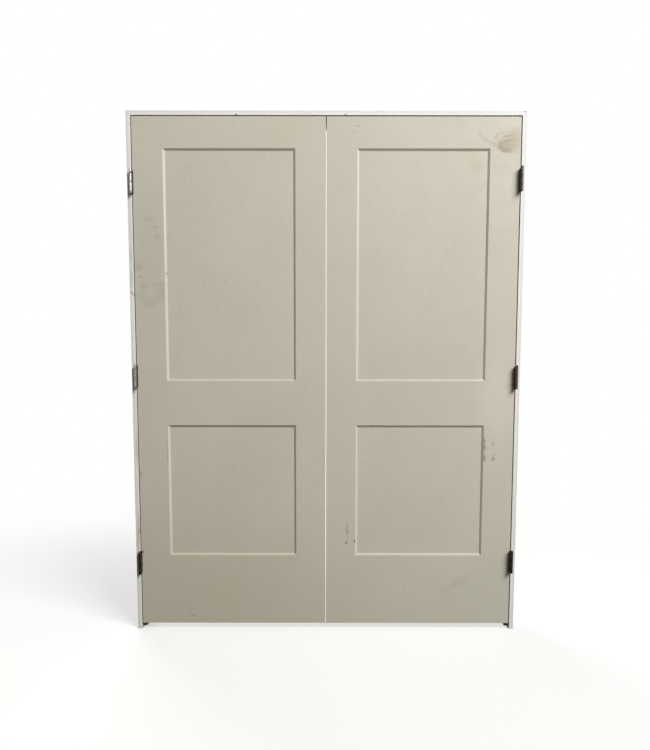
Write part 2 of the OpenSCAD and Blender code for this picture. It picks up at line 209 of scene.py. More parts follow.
# %% Start and end of a material
def material(name):
    """Make an empty material. Gives back it, its node tree and the place on the object."""
    made = bpy.data.materials.new(name)
    made.use_nodes = True
    made.node_tree.nodes.clear()
    return made, made.node_tree, add(made.node_tree, "TexCoord").outputs["Object"]


def surface(tree, inputs):
    """End a material with its shader and its output."""
    shader = add(tree, "BsdfPrincipled", {}, inputs)
    add(tree, "OutputMaterial", {}, {"Surface": shader.outputs[0]})


def coats(tree, colour, layers):
    """Lay colours over a first one, each where its mask is."""
    for shade, mask in layers:
        mixed = add(tree, "Mix", {"data_type": "RGBA"}, {0: mask, 6: colour, 7: linear(shade)})
        colour = mixed.outputs[2]
    return colour


print("materials start with the place and end with a shader")

# %% Masks
def patches(tree, place, size_mm, low, high, least=0.0, most=1.0, stretch=(1, 1, 1), detail=3):
    """Cloudy patches of a real size. Noise from low to high becomes least to most."""
    laid = add(tree, "Mapping", {}, {"Vector": place, "Scale": stretch})
    noise = add(tree, "TexNoise", {}, {
        "Vector": laid.outputs[0], "Scale": 1/(size_mm*MM), "Detail": detail})
    return add(tree, "MapRange", {}, {
        "Value": noise.outputs[0], "From Min": low, "From Max": high,
        "To Min": least, "To Max": most}).outputs[0]


def places(tree, tests, how="MULTIPLY", most=1.0):
    """Join tests of place to one mask. In a test, a value fades in from one limit to the next.

    MULTIPLY finds the places that pass all tests, and MAXIMUM those that pass any.
    """
    joined = 1.0 if how == "MULTIPLY" else 0.0
    for value, nothing, full in tests:
        fade = add(tree, "MapRange", {}, {"Value": value, "From Min": nothing, "From Max": full})
        joined = add(tree, "Math", {"operation": how}, {0: joined, 1: fade.outputs[0]}).outputs[0]
    return add(tree, "Math", {"operation": "MULTIPLY"}, {0: joined, 1: most}).outputs[0]


print("masks ready")

# %% [markdown]
# Both the doors and the frame bear small marks of handling. Each mark is a soft spot at a
# place measured on the front, in millimetres, and a curved stroke is a chain of them.
# Noise bends the spots and breaks them up, as a rub does.

# %% Soft marks
MARK_DEPTH = 30*MM
MARK_REACH = 1.5
BEND_SIZE = 16*MM
EVEN_NOISE = (0.5, 0.5, 0.5)


def soft_spot(tree, place, x, z, half_w, half_h, turn):
    """A round spot that fades to its edge, at a place on the front in millimetres."""
    centred = add(tree, "Mapping", {"vector_type": "TEXTURE"}, {
        "Vector": place, "Location": (x*MM, DOOR_FACE_Y, z*MM),
        "Rotation": (0, math.radians(turn), 0), "Scale": (half_w*MM, MARK_DEPTH, half_h*MM)})
    return add(tree, "TexGradient", {"gradient_type": "SPHERICAL"},
               {"Vector": centred.outputs[0]}).outputs[1]


def marked(tree, colour, place, marks, ragged_mm):
    """Lay a list of marks over a colour, bent and broken up by noise."""
    push = add(tree, "TexNoise", {}, {"Vector": place, "Scale": 1/BEND_SIZE, "Detail": 5})
    push = add(tree, "VectorMath", {"operation": "SUBTRACT"}, {0: push.outputs[1], 1: EVEN_NOISE})
    push = add(tree, "VectorMath", {"operation": "SCALE"}, {
        0: push.outputs[0], "Scale": ragged_mm*MM})
    bent = add(tree, "VectorMath", {"operation": "ADD"}, {0: place, 1: push.outputs[0]}).outputs[0]
    rub = patches(tree, place, 8, 0.35, 0.6, least=0.62, stretch=(0.4, 1, 1.3))
    for x, z, half_w, half_h, turn, shade, strength in marks:
        spot = soft_spot(tree, bent, x, z, half_w*MARK_REACH, half_h*MARK_REACH, turn)
        spot = add(tree, "MapRange", {}, {"Value": spot, "From Max": 0.6, "To Max": strength})
        spot = add(tree, "Math", {"operation": "MULTIPLY"}, {0: spot.outputs[0], 1: rub})
        colour = coats(tree, colour, [(shade, spot.outputs[0])])
    return colour


print("a mark reaches", MARK_REACH, "times its half sizes, where it is gone")

# %% [markdown]
# The doors' skins are hardboard, pressed in a heated mould and sprayed with a warm
# grey-beige primer. The eye sees an eggshell sheen, a faint cloudiness where the primer
# dried unevenly, and a very fine pimpled surface. The real pimples are under a
# millimetre, and are drawn here at 2.5 mm, since smaller ones would not show. The slopes
# that face up are darkened, a painted shade that tones down the light they catch. The
# edges are trimmed after the spray, so there the brown of the bare board shows.

# %% Trimmed edges of a skin
LEAN = math.tan(math.radians(3))
EDGE_FADE = (0.5*MM, 0.2*MM)
SKIN_LOW, SKIN_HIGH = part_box("left_door_front_skin")


def cut_edges(tree, place):
    """A mask of the four trimmed edges of a skin. The meeting edge leans back."""
    x, y, z = add(tree, "SeparateXYZ", {}, {0: place}).outputs
    aside = add(tree, "Math", {"operation": "ABSOLUTE"}, {0: x}).outputs[0]
    depth = add(tree, "Math", {"operation": "SUBTRACT"}, {0: y, 1: DOOR_FACE_Y}).outputs[0]
    lean = add(tree, "Math", {"operation": "MULTIPLY"}, {0: depth, 1: LEAN}).outputs[0]
    meeting = add(tree, "Math", {"operation": "SUBTRACT"}, {0: aside, 1: lean}).outputs[0]
    edges = ((aside, abs(SKIN_LOW.x), -1), (meeting, abs(SKIN_HIGH.x), 1),
             (z, SKIN_HIGH.z, -1), (z, SKIN_LOW.z, 1))
    tests = [(value, edge + inwards*EDGE_FADE[0], edge + inwards*EDGE_FADE[1])
             for value, edge, inwards in edges]
    return places(tree, tests, "MAXIMUM", 0.9)


print("a skin reaches from", tuple(SKIN_LOW), "to", tuple(SKIN_HIGH))

# %% Primed hardboard
GREIGE = "#cfcaba"
GREIGE_COOL = "#c7c4b3"
GREIGE_WARM = "#cfc3b0"
DUST_AND_LEDGE_SHADE = "#a59f8c"
LEDGE_SHADE = 0.3
BARE_EDGE = "#7f654a"
RAGGED = 7


def primed_hardboard(name, marks=()):
    """The doors' primer, with any marks laid on it."""
    made, tree, place = material(name)
    facing = add(tree, "SeparateXYZ", {}, {0: add(tree, "NewGeometry").outputs["Normal"]})
    colour = coats(tree, linear(GREIGE), [
        (GREIGE_COOL, patches(tree, place, 420, 0.42, 0.62, most=0.45)),
        (GREIGE_WARM, patches(tree, place, 160, 0.5, 0.7, most=0.3, stretch=(1, 1, 0.6))),
        (DUST_AND_LEDGE_SHADE, patches(tree, place, 16, 0.5, 0.75, most=0.12, detail=6)),
        # Painted shade: the slopes that face up are darkened, to tone down the light they catch.
        # The small patches above are fine dust.
        (DUST_AND_LEDGE_SHADE, places(tree, [(facing.outputs[2], 0.3, 0.5)], most=LEDGE_SHADE)),
        (BARE_EDGE, cut_edges(tree, place))])
    if marks:
        colour = marked(tree, colour, place, marks, RAGGED)
    wavy = add(tree, "Bump", {}, {
        "Height": patches(tree, place, 140, 0, 1, detail=1), "Distance": 0.25*MM})
    pimples = add(tree, "Bump", {}, {
        "Height": patches(tree, place, 2.5, 0, 1, detail=2), "Distance": 0.05*MM,
        "Strength": 0.6, "Normal": wavy.outputs[0]})
    surface(tree, {"Base Color": colour, "Normal": pimples.outputs[0],
                   "Roughness": patches(tree, place, 70, 0.3, 0.7, 0.56, 0.68)})
    return made


clean_skin = primed_hardboard("primed_hardboard_clean")
print("made", clean_skin.name)

# %% [markdown]
# The fronts have been handled: a palm has wiped a smudge near the top right corner, small
# dark dabs follow the lower right panel, there are brown spots, and greenish clouds lie
# on the left stile. Each row below is one mark: its x and z, its half width and half
# height in millimetres, its turn in degrees, its colour and its strength.

# %% Smudge at the top right
SMUDGE = [
    (712, 1944, 24, 21, 0, "#978b77", 0.78),
    (681, 1950, 9, 15, 12, "#857a68", 0.70),
    (690, 1935, 12, 9, 38, "#897e6c", 0.65),
    (708, 1928, 18, 7, 6, "#91866f", 0.62),
    (713, 1967, 26, 5.5, -13, "#857a66", 0.76),
    (712, 1983, 20, 5, -10, "#968a75", 0.60),
    (700, 1962, 46, 27, -12, "#b5aa95", 0.50),
    (665, 1983, 4.5, 11, 24, "#9c9382", 0.55),
    (682, 1993, 18, 4.5, -12, "#ada594", 0.40),
    (722, 1999, 30, 5, -8, "#bfb6a4", 0.35),
    (742, 1968, 24, 42, 0, "#bdb19a", 0.72),
    (602, 1990, 4, 10, -32, "#b1a896", 0.50),
    (614, 1978, 10, 4.5, 38, "#b3aa98", 0.50),
    (629, 1967, 12, 5, 36, "#b3aa98", 0.52),
    (647, 1957, 12, 6, 20, "#b3aa98", 0.50),
    (664, 1950, 10, 6, 24, "#b0a795", 0.45),
    (587, 1871, 20, 26, 0, "#c2b8a4", 0.40),
    (623, 2027, 16, 12, 0, "#bdb6a4", 0.30),
]
print("marks in the smudge:", len(SMUDGE))

# %% Dabs and spots on the right door
DABS = [
    (646.5, 804, 2.6, 6, 0, "#8d8b7c", 0.45),
    (646.6, 790, 3.0, 7, 0, "#605b50", 0.80),
    (646.9, 777, 2.8, 6, 0, "#6c675b", 0.70),
    (647.2, 760, 3.8, 9, 0, "#454138", 0.95),
    (647.4, 743, 2.8, 6, 0, "#8f8d80", 0.45),
    (648.0, 722, 4.2, 10, 0, "#79746a", 0.70),
    (648.4, 711, 4.6, 5, 0, "#79746a", 0.65),
    (682.8, 776, 6.5, 9, -12, "#a3988a", 0.62),
    (683.5, 791, 5, 9, 10, "#b5ab9b", 0.45),
    (681, 757, 8, 6, 0, "#b4aa9a", 0.38),
    (684.3, 714, 6.5, 5.5, -15, "#8f8579", 0.80),
    (682.5, 725, 3.6, 7, 10, "#a69c8e", 0.50),
    (689, 733, 2.8, 12, 36, "#a39a8b", 0.50),
    (656.6, 759.5, 11, 4, 0, "#b6ad9c", 0.50),
    (662, 834.6, 8, 5, 0, "#b8b09f", 0.45),
]
RIGHT_SPOTS = [
    (87.5, 426, 5, 13, 8, "#9f9178", 0.55),
    (89, 409.6, 3.8, 5, 0, "#827c68", 0.80),
    (88.8, 446.8, 3.4, 4.5, 0, "#95907c", 0.45),
    (89, 388, 3, 14, 0, "#9d9884", 0.30),
    (84.6, 365, 3.4, 6, 24, "#706758", 0.88),
    (118.1, 372.7, 3.2, 4.8, 0, "#694c3e", 0.95),
    (123.7, 2020.5, 7, 4, 0, "#a39a88", 0.55),
    (112.1, 1998, 4, 5, 0, "#a69e8d", 0.45),
]
print("dabs:", len(DABS), "spots:", len(RIGHT_SPOTS))

# %% Clouds and spots on the left door, and broad marks
CLOUDS = [
    (-746, 1482, 13, 17, 0, "#a79f88", 0.42),
    (-705, 1666, 18, 10, 0, "#aba48f", 0.34),
    (-679, 1636, 9, 6, 30, "#a29b87", 0.38),
    (-668, 1595, 14, 11, 0, "#aaa591", 0.30),
    (-727, 1404, 15, 14, 0, "#a6a894", 0.36),
    (-746, 1366, 20, 20, 0, "#aaad98", 0.30),
    (-657, 1400, 17, 22, 0, "#a8aa95", 0.38),
    (-658, 1362, 22, 20, 0, "#a8aa95", 0.34),
    (-703, 1338, 24, 15, 0, "#a9a18c", 0.34),
    (-687, 1410, 7, 5, 0, "#a59e89", 0.35),
    (-741, 1443, 5, 5.5, 0, "#948c78", 0.50),
    (-700, 1500, 60, 220, 0, "#b3ad98", 0.22),
]
LEFT_SPOTS = [
    (-637.5, 1456, 4, 6, -30, "#8d8671", 0.65),
    (-407.5, 1430, 3.4, 4.5, 0, "#979079", 0.60),
    (-646.5, 737, 2.6, 40, 0, "#8f8a73", 0.40),
    (-757.5, 651, 3.4, 10, 0, "#837e6d", 0.50),
    (-554, 58, 11, 4.5, 0, "#9b9480", 0.40),
]
BROAD = [
    (552, 198, 58, 15, -30, "#aaa28e", 0.22),
    # Darker and yellower over the lower left of the doors.
    (-560, 40, 560, 330, 0, "#b0a88a", 0.34),
    (700, 960, 70, 170, 0, "#dfdccc", 0.45),
]
BLACK_SPOT = [
    (-759, 326.7, 4.6, 4.6, 0, "#0f0e0c", 1.00),
]
print("clouds:", len(CLOUDS), "spots:", len(LEFT_SPOTS), "broad stains:", len(BROAD))

# %% Handled fronts
MARKS = SMUDGE + DABS + RIGHT_SPOTS + CLOUDS + LEFT_SPOTS + BROAD + BLACK_SPOT

handled_skin = primed_hardboard("primed_hardboard_handled", MARKS)
print("marks on the fronts:", len(MARKS))

# %% [markdown]
# The frame is finger-jointed pine under white primer. It is smoother and whiter than the
# doors. Grain shows faintly through it as long upright streaks. Its outer half has been
# greyed by other frames stacked against it. All of it is also greyed towards the top right,
# a painted shade where the lamp lights it most. There is dirt low on the left leg. In the
# rabbet, where the doors lie, the faces are tinted brown, a painted shade for the deep
# shadow in the gaps beside the doors.

# %% Marks on the frame
LEG_MARKS = [
    (-773, 430, 3.2, 60, 0, "#a28a7d", 0.60),
    (-771.5, 412, 2.4, 12, 0, "#8f5f4b", 0.70),
    (-776, 357, 4, 40, 0, "#a39c8f", 0.50),
    (-771, 752, 3.5, 60, 0, "#9c9688", 0.45),
    (-777, 1431, 4, 36, 0, "#b0b5a8", 0.60),
    (-777, 1523, 4, 22, 0, "#b9bbb1", 0.50),
    (-774.5, 1377, 11, 2.6, 48, "#7f7872", 0.90),
    (-774, 1600, 5, 160, 0, "#c9c6ba", 0.40),
    (-353, 2063, 4, 2.6, 0, "#4a4038", 0.90),
    (75, 2063, 4, 2.6, 0, "#4a4038", 0.90),
    (775, 2076.5, 4, 4, 0, "#6f6b65", 0.85),
]
print("marks on the frame:", len(LEG_MARKS))

# %% White primed pine
WHITE_PRIMER = "#f6f5f2"
GREYED = (7.5*MM, 10.5*MM)
LEG_RAGGED = 4
LEG_FACE = abs(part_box("left_jamb")[1].x)
HEAD_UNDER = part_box("head_jamb")[0].z
RABBET_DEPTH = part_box("left_stop")[0].y

white_pine, tree, place = material("white_primed_pine")
x, y, z = add(tree, "SeparateXYZ", {}, {0: place}).outputs
aside = add(tree, "Math", {"operation": "ABSOLUTE"}, {0: x}).outputs[0]
outer_half = places(tree, [(aside, LEG_FACE + GREYED[0], LEG_FACE + GREYED[1]),
                           (z, HEAD_UNDER + GREYED[0], HEAD_UNDER + GREYED[1])], "MAXIMUM", 0.6)
# Painted shade: the frame is greyed towards the top right, where the lamp lights it most.
top_right_painted_shade = places(tree, [(z, 1.2, 2.0), (x, 0.1, 0.8)], most=0.55)
# Painted shade: the faces in the rabbet are tinted brown for the deep shadow in the gaps beside
# the doors, more on the right than on the left.
rabbet = places(tree, [(y, RABBET_DEPTH + 0.4*MM, RABBET_DEPTH),
                       (aside, LEG_FACE + 0.3*MM, LEG_FACE + 0.1*MM),
                       (z, HEAD_UNDER + 0.3*MM, HEAD_UNDER + 0.1*MM)])
rabbet_shade_strength = add(tree, "MapRange", {}, {
    "Value": x, "From Min": -0.7, "From Max": 0.2, "To Min": 0.5, "To Max": 0.95})
rabbet_shade = add(tree, "Math", {"operation": "MULTIPLY"}, {0: rabbet, 1: rabbet_shade_strength.outputs[0]})
# The grey towards the top right and the brown in the rabbet are painted shade. The other coats are
# the primer's own streaks and greying.
colour = coats(tree, linear(WHITE_PRIMER), [
    ("#eceae3", patches(tree, place, 14, 0.45, 0.75, most=0.35, stretch=(1, 1, 0.04), detail=4)),
    ("#e3e1d9", outer_half),
    ("#d3d2cd", top_right_painted_shade),
    ("#9c8f7e", rabbet_shade.outputs[0]),
    ("#dedbd2", patches(tree, place, 90, 0.52, 0.75, most=0.4, stretch=(1, 1, 0.35), detail=5))])
grain = add(tree, "Bump", {}, {
    "Height": patches(tree, place, 3, 0, 1, stretch=(1, 1, 0.03)), "Distance": 0.08*MM,
    "Strength": 0.5})
surface(tree, {"Base Color": marked(tree, colour, place, LEG_MARKS, LEG_RAGGED),
               "Roughness": 0.45, "Normal": grain.outputs[0]})
print("made", white_pine.name)

# %% [markdown]
# Inside the slabs is plain sawn pine, not finished, so it is matt. Pine has pale early
# wood and darker late wood. On a board that is sawn flat the dark lines lie a few
# centimetres apart, and a wave pattern, drawn out along the board and bent by noise,
# gives them.

# %% Bare pine
RING_GAP = 50.27*MM
EARLY_WOOD = "#dcc298"
LATE_WOOD = "#b98f58"


def bare_pine(name, draw_out):
    """Planed pine, its grain drawn out along the board."""
    made, tree, place = material(name)
    turned = add(tree, "Mapping", {}, {"Vector": place, "Scale": draw_out})
    # A diagonal wave repeats after two pi, over ten times its scale.
    rings = add(tree, "TexWave", {"bands_direction": "DIAGONAL"}, {
        "Vector": turned.outputs[0], "Scale": 2*math.pi/(10*RING_GAP), "Distortion": 5,
        "Detail": 3, "Detail Scale": 1.4}).outputs[1]
    late = places(tree, [(rings, 0.35, 1)], most=0.75)
    grain = add(tree, "Bump", {}, {"Height": rings, "Distance": 0.1*MM, "Strength": 0.4})
    surface(tree, {"Base Color": coats(tree, linear(EARLY_WOOD), [(LATE_WOOD, late)]),
                   "Roughness": 0.7, "Normal": grain.outputs[0]})
    return made


pine_upright = bare_pine("planed_pine_upright", (1, 1, 0.06))
pine_level = bare_pine("planed_pine_level", (0.06, 1, 1))
print("made", pine_upright.name, "and", pine_level.name)

# %% [markdown]
# The core between the skins is brown recycled card, flecked and quite matt. The nails and
# brads are drawn steel wire, a plain grey metal that has dulled in places. Both are small
# or hidden, so a simple pattern is enough for each.

# %% Card, and the steel of the nails
core_card, tree, place = material("brown_card")
flecks = patches(tree, place, 1.5, 0.45, 0.7, most=0.6, stretch=(1, 1, 0.5), detail=5)
fibres = add(tree, "Bump", {}, {
    "Height": patches(tree, place, 1.2, 0, 1), "Distance": 0.1*MM, "Strength": 0.5})
surface(tree, {"Base Color": coats(tree, linear("#a98a5f"), [("#8a6c45", flecks)]),
               "Roughness": 0.88, "Normal": fibres.outputs[0]})

nail_steel, tree, place = material("drawn_wire_steel")
dull = patches(tree, place, 2, 0.4, 0.7, most=0.8)
surface(tree, {"Base Color": coats(tree, linear("#a4a6a8"), [("#74716c", dull)]),
               "Metallic": 1, "Roughness": 0.38})
print("made", core_card.name, "and", nail_steel.name)

# %% [markdown]
# The hinges are stamped steel with an oil-rubbed bronze plating: nearly black, and a
# little brown where handling has rubbed it. A clear lacquer over it is satin. On the two
# upper left hinges the fronts of the knuckles are painted pale, a painted highlight for the
# bright reflection of the light on them. A mask of the place on the object finds those fronts.

# %% Oil-rubbed bronze
KNUCKLE_FRONT = DOOR_FACE_Y - 12*MM
HIGHLIGHT_ABOVE = 0.64

rubbed_bronze, tree, place = material("oil_rubbed_bronze")
x, y, z = add(tree, "SeparateXYZ", {}, {0: place}).outputs
# Painted highlight: pale fronts on the knuckles of the upper left hinges, for the bright
# reflection on them.
knuckle_highlight = places(tree, [(y, KNUCKLE_FRONT, KNUCKLE_FRONT - 1.5*MM),
                     (z, HIGHLIGHT_ABOVE, HIGHLIGHT_ABOVE + 0.01),
                     (x, 0, -0.1),
                     (patches(tree, place, 8, 0.32, 0.44, detail=4), 0, 1)])
colour = coats(tree, linear("#39322b"), [
    ("#514539", patches(tree, place, 12, 0.5, 0.72, most=0.6, detail=5)),
    ("#1b1714", patches(tree, place, 2.2, 0.6, 0.72, most=0.6)),
    ("#8a8780", knuckle_highlight)])
pores = add(tree, "Bump", {}, {
    "Height": patches(tree, place, 1.4, 0, 1, detail=2), "Distance": 0.02*MM, "Strength": 0.5})
surface(tree, {"Base Color": colour, "Metallic": 1,
               "Roughness": patches(tree, place, 5, 0, 1, 0.26, 0.38),
               "Coat Weight": 0.6, "Coat Roughness": 0.25, "Normal": pores.outputs[0]})
print("made", rubbed_bronze.name)

# %% [markdown]
# The shapes are made as one would make them by hand: add a simple solid at its size and
# place, go into edit mode, pick faces or edges, and extrude, inset or bevel them. By hand
# one clicks on a face. Here a test on its place or direction picks it.

# %% Selecting
NEAR = 0.01*MM


def deselect():
    bpy.ops.object.select_all(action="DESELECT")


def take(piece):
    """Make one object the selected and active one."""
    deselect()
    piece.select_set(True)
    bpy.context.view_layer.objects.active = piece


def edit(piece):
    """Go into edit mode on one object."""
    take(piece)
    bpy.ops.object.mode_set(mode="EDIT")


def done():
    """Leave edit mode."""
    bpy.ops.object.mode_set(mode="OBJECT")


def pick(kind, test):
    """In edit mode, select the vertices, edges or faces that pass a test."""
    bpy.ops.mesh.select_mode(type=kind)
    bpy.ops.mesh.select_all(action="DESELECT")
    shape = bmesh.from_edit_mesh(bpy.context.edit_object.data)
    parts = {"VERT": shape.verts, "EDGE": shape.edges, "FACE": shape.faces}[kind]
    chosen = [p for p in parts if test(p)]
    for p in chosen:
        p.select_set(True)
    shape.select_flush_mode()
    bmesh.update_edit_mesh(bpy.context.edit_object.data)
    return len(chosen)


def lies_at(edge, axis, value):
    """True for an edge that lies at one place on an axis: 0 for X, 1 for Y, 2 for Z."""
    return all(abs(v.co[axis] - value) < NEAR for v in edge.verts)


def runs_along(edge, axis):
    """True for an edge that runs along an axis."""
    a, b = edge.verts
    return abs((a.co - b.co).normalized()[axis]) > 0.99


print("a place is met to within", NEAR, "m")

# %% Making and changing solids
def settle(name):
    """Name the solid that was just added, and put its place and size in its mesh."""
    piece = bpy.context.object
    piece.name = name
    bpy.ops.object.transform_apply(location=True, rotation=True, scale=True)
    return piece


def block(name, low, high):
    """Add a box between two corners, as the start of a piece."""
    low, high = Vector(low), Vector(high)
    deselect()
    bpy.ops.mesh.primitive_cube_add(size=1, location=(low + high)/2)
    bpy.context.object.scale = high - low
    return settle(name)


def modify(piece, kind, **settings):
    """Add a modifier and apply it."""
    take(piece)
    change = piece.modifiers.new(kind, kind)
    for name, value in settings.items():
        setattr(change, name, value)
    bpy.ops.object.modifier_apply(modifier=change.name)


def cut(piece, tool):
    """Cut one shape out of another, and throw the cutting shape away."""
    modify(piece, "BOOLEAN", operation="DIFFERENCE", solver="EXACT", object=tool)
    bpy.data.objects.remove(tool)


def join(name, pieces):
    """Join several shapes to one piece."""
    deselect()
    for piece in pieces:
        piece.select_set(True)
    bpy.context.view_layer.objects.active = pieces[0]
    bpy.ops.object.join()
    pieces[0].name = name
    return pieces[0]


print("solids can be made, cut and joined")

# %% Finishing a piece
def smooth(piece, angle=32):
    """Shade curved faces smooth, keep sharp corners, and leave the large faces flat."""
    take(piece)
    bpy.ops.object.shade_smooth_by_angle(angle=math.radians(angle))
    modify(piece, "WEIGHTED_NORMAL", keep_sharp=True, weight=100)


def finish_piece(piece, finish, body, slot, *replaced):
    """Give a finished piece its material and its body, and hide the nodes it stands for. The slot
    is not used.
    """
    piece.data.materials.clear()
    piece.data.materials.append(finish)
    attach(piece, body)
    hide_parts(*replaced)
    print(piece.name, "has", len(piece.data.polygons), "faces")


print("pieces can be finished")

# %% [markdown]
# A moulded skin starts as one flat sheet. Cutting lines across it at the panels' edges
# make two panel faces. Insetting these inwards and down at once makes the four slopes
# with their mitred corners, and a small bevel along both sides of the slopes gives the
# soft edges that a press leaves. Solidify then gives the sheet its thickness, so that
# it dips behind as it does in front. The four skins are one shape: it is made once for
# the left door's front, and turned over for the others.

# %% Moulded skin, the left front one
SIDE_BORDER = 120*MM
TOP_BORDER = 120*MM
UPPER_PANEL = 907*MM
MIDDLE_BORDER = 178.5*MM
BOTTOM_BORDER = 288*MM
SLOPE = 8.5*MM
PANEL_DEPTH = 5.5*MM

hinge_x, meet_x = SKIN_LOW.x, SKIN_HIGH.x
foot_z, top_z = SKIN_LOW.z, SKIN_HIGH.z
panel_left, panel_right = hinge_x + SIDE_BORDER, meet_x - SIDE_BORDER
upper_top = top_z - TOP_BORDER
upper_foot = upper_top - UPPER_PANEL
lower_top = upper_foot - MIDDLE_BORDER
lower_foot = foot_z + BOTTOM_BORDER

deselect()
bpy.ops.mesh.primitive_plane_add(size=1, rotation=(math.pi/2, 0, 0),
                                 location=((hinge_x + meet_x)/2, DOOR_FACE_Y, (foot_z + top_z)/2))
bpy.context.object.scale = (meet_x - hinge_x, top_z - foot_z, 1)
pattern = settle("skin_pattern")
edit(pattern)
for x in (panel_left, panel_right):
    bpy.ops.mesh.select_all(action="SELECT")
    bpy.ops.mesh.bisect(plane_co=(x, 0, 0), plane_no=(1, 0, 0))
for z in (lower_foot, lower_top, upper_foot, upper_top):
    bpy.ops.mesh.select_all(action="SELECT")
    bpy.ops.mesh.bisect(plane_co=(0, 0, z), plane_no=(0, 0, 1))


def in_panel(face):
    """True for a face in the field of the upper or the lower panel."""
    at = face.calc_center_median()
    across = panel_left < at.x < panel_right
    return across and (lower_foot < at.z < lower_top or upper_foot < at.z < upper_top)


print("panel faces:", pick("FACE", in_panel))
bpy.ops.mesh.inset(thickness=SLOPE, depth=-PANEL_DEPTH, use_individual=True)

# %% Soft edges, thickness and outer edges of the skin
PRESS_RADIUS = 1.6*MM
SKIN = 3.2*MM
RIM = 0.5*MM
slope_angle = math.atan2(PANEL_DEPTH, SLOPE)


def beside_slope(edge):
    """True for an edge between a slope and a flat face."""
    return sum(abs(face.normal.y) < 0.95 for face in edge.link_faces) == 1


def on_rim(edge):
    """True for the outer edges of the skin's face."""
    at_side = any(lies_at(edge, 0, x) for x in (hinge_x, meet_x))
    at_end = any(lies_at(edge, 2, z) for z in (foot_z, top_z))
    return lies_at(edge, 1, DOOR_FACE_Y) and (at_side or at_end)


print("edges to soften:", pick("EDGE", beside_slope))
bpy.ops.mesh.bevel(offset=PRESS_RADIUS*math.tan(slope_angle/2), segments=4, affect="EDGES")
done()
modify(pattern, "SOLIDIFY", thickness=SKIN, offset=-1, use_even_offset=True)
edit(pattern)
print("rim edges:", pick("EDGE", on_rim))
bpy.ops.mesh.bevel(offset=RIM, segments=3, affect="EDGES")
done()
print("skin pattern:", len(pattern.data.polygons), "faces")

# %% [markdown]
# The meeting edges lean back by three degrees so that the doors pass each other. On each
# skin the points behind the face therefore move a little towards the hinges. The front
# skins are also notched where the hinge leaves are let in, and each door has its own
# heights for them, so the notches are cut last, with boxes set from the measured leaves.

# %% Copying, turning over and leaning back
RIM_ZONE = 1.5*MM


def copy_of(piece, name):
    """A copy with a mesh of its own."""
    made = piece.copy()
    made.data = piece.data.copy()
    made.name = name
    bpy.context.scene.collection.objects.link(made)
    return made


def turn_over(piece, scale, centre=(0, 0, 0)):
    """Mirror a piece's mesh about a place, and point its faces outwards again."""
    edit(piece)
    bpy.ops.mesh.select_all(action="SELECT")
    bpy.ops.transform.resize(value=scale, center_override=centre)
    bpy.ops.mesh.normals_make_consistent(inside=False)
    done()


def lean_back(piece, sign):
    """Set the meeting edge back in step with its depth behind the front face."""
    def at_meeting(v):
        return abs(abs(v.co.x) - abs(meet_x)) < RIM_ZONE

    edit(piece)
    for depth in sorted({round(v.co.y - DOOR_FACE_Y, 5) for v in piece.data.vertices
                         if at_meeting(v)}):
        pick("VERT", lambda v: at_meeting(v) and abs(v.co.y - DOOR_FACE_Y - depth) < 2*NEAR)
        bpy.ops.transform.translate(value=(sign*depth*LEAN, 0, 0))
    done()


print("the meeting edge leans back by", round(LEAN*SKIN/MM, 2), "mm over one skin")

# %% The four skins
SLAB = 35*MM
FIT = 0.2*MM
NOTCH_PAST = 0.6*MM
SIDES = (("left", -1), ("right", 1))
HEIGHTS = ("top", "middle", "bottom")


def leaf_notch(side, sign, height):
    """A cutter for the notch of one hinge leaf, open past the hinge edge."""
    low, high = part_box(f"{side}_{height}_door_leaf")
    outside = (abs(hinge_x) + NOTCH_PAST)*sign
    inside = high.x if side == "left" else low.x
    x0, x1 = sorted((outside, inside))
    return block("notch", (x0, low.y, low.z - FIT), (x1, high.y + FIT, high.z + FIT))


for side, sign in SIDES:
    for face in ("front", "back"):
        skin = copy_of(pattern, f"{side}_{face}_moulded_skin")
        if side == "right":
            turn_over(skin, (-1, 1, 1))
        if face == "back":
            turn_over(skin, (1, -1, 1), (0, DOOR_FACE_Y + SLAB/2, 0))
        lean_back(skin, sign)
        if face == "front":
            for height in HEIGHTS:
                cut(skin, leaf_notch(side, sign, height))
        smooth(skin)
        finish_piece(skin, handled_skin if face == "front" else clean_skin, f"{side}_door",
                     "primed_skin", f"{side}_door_{face}_skin")
bpy.data.objects.remove(pattern)

# %% [markdown]
# The frame's legs and head are plain boards with lightly eased edges. A leg has a rabbet
# at its top that takes the end of the head, a shallow pocket for each hinge leaf with
# the leaf's rounded corners, and three holes for the nails into the head. Pockets and
# holes are cut with simple shapes, as a router and a drill would.

# %% Boards with eased edges
EASE = 0.9*MM
DRILL = 30*MM


def eased_board(name, low, high, along):
    """A board whose four long edges are rounded over a little. along is 0 for X, 2 for Z."""
    piece = block(name, low, high)
    edit(piece)
    pick("EDGE", lambda e: runs_along(e, along))
    bpy.ops.mesh.bevel(offset=EASE, segments=3, affect="EDGES")
    done()
    return piece


def round_cutter(place, radius, length, axis):
    """A round bar to cut a hole with, along X or Z."""
    deselect()
    turn = (0, math.pi/2, 0) if axis == "X" else (0, 0, 0)
    bpy.ops.mesh.primitive_cylinder_add(vertices=16, radius=radius, depth=length,
                                        location=place, rotation=turn)
    return settle("bit")


head_low, head_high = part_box("head_jamb")
print("the head is", round(head_high.x - head_low.x, 4), "m long")

# %% Legs of the frame
PAST = 1*MM
LEAF_CORNER = 6.35*MM
LEAF_T = 2.4*MM
NAIL_R = 1.4*MM
NAIL_HOLE_R = 1.45*MM
NAIL_DEPTH = 14*MM
nail_low, nail_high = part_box("head_nails")
nail_rows = [nail_low.y + NAIL_R, (nail_low.y + nail_high.y)/2, nail_high.y - NAIL_R]
nail_height = (nail_low.z + nail_high.z)/2


